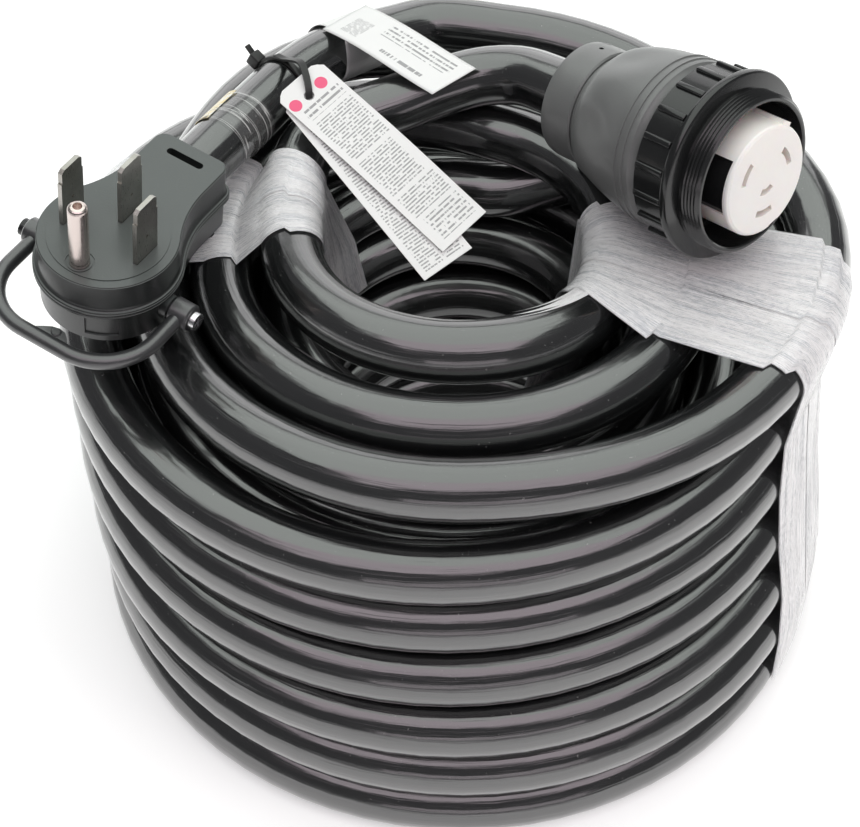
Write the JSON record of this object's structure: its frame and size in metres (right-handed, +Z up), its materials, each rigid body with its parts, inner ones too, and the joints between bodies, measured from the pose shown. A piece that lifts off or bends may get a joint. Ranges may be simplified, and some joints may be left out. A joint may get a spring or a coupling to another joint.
{
  "type": "shore power cord",
  "caption": "Coiled heavy power cord with a bladed plug that has a folding bail handle, and a round connector with a threaded locking ring.",
  "frame": {"origin": "centre of the object's footprint box, on the floor that the coil stands on", "axes": "+Z up, along the coil's axis; the plug lies at -X and the connector at +X, and the open side of the view is -Y"},
  "size_m": [0.3118, 0.3082, 0.2325],
  "materials": {
    "jacket": "glossy black flexible jacket",
    "plug_plastic": "satin moulded charcoal",
    "plated_brass": "nickel plated, lightly scuffed",
    "plated_pin": "nickel plated, warm tint",
    "brass": "plain brass",
    "steel": "zinc plated",
    "insulation": "coloured conductor insulation",
    "bail_coating": "black powder coat, satin",
    "connector_plastic": "satin moulded charcoal",
    "soft_rubber": "soft black rubber",
    "nylon": "white nylon, slight gloss",
    "ring_plastic": "black moulded, semi gloss",
    "tie_nylon": "black nylon",
    "tag_paper": "white coated card",
    "foil": "gold and silver foil",
    "stretch_film": "clear stretch film with white creases"
  },
  "bodies": {
    "cord_set": {"cord_coil": "jacket", "plug_lead": "jacket", "connector_lead": "jacket", "plug_front_cover": "plug_plastic", "plug_rear_cover": "plug_plastic", "plug_face": "plug_plastic", "line_blades": "plated_brass", "neutral_blade": "plated_brass", "ground_pin": "plated_pin", "blade_clamps": "brass", "clamp_screws": "steel", "plug_cover_screws": "steel", "plug_cord_clamp": "plug_plastic", "plug_conductors": "insulation", "bail_screws": "steel", "connector_housing": "connector_plastic", "connector_grip": "connector_plastic", "grip_screws": "steel", "cord_grommet": "soft_rubber", "contact_carrier": "nylon", "carrier_window": "soft_rubber", "line_contacts": "brass", "neutral_contact": "steel", "ground_contact": "brass", "contact_screws": "steel", "connector_conductors": "insulation", "face_gasket": "soft_rubber", "ring_retainer": "steel", "cable_tie": "tie_nylon", "front_tag": "tag_paper", "rear_tag": "tag_paper", "cord_label": "tag_paper", "foil_label": "foil", "film_left": "stretch_film", "film_right": "stretch_film"},
    "bail": {"bail": "bail_coating"},
    "lock_ring": {"lock_ring": "ring_plastic"}
  },
  "joints": [
    {"name": "bail_hinge", "type": "hinge", "parent": "cord_set", "child": "bail", "pos_m": [-0.11456, -0.01987, 0.1653], "axis": [-0.8476, 0.5216, 0.0976], "range_deg": [-30, 30]},
    {"name": "ring_spin", "type": "hinge", "parent": "cord_set", "child": "lock_ring", "pos_m": [0.1135, -0.0058, 0.2002], "axis": [0.6802, -0.7044, 0.2028], "continuous": true}
  ]
}
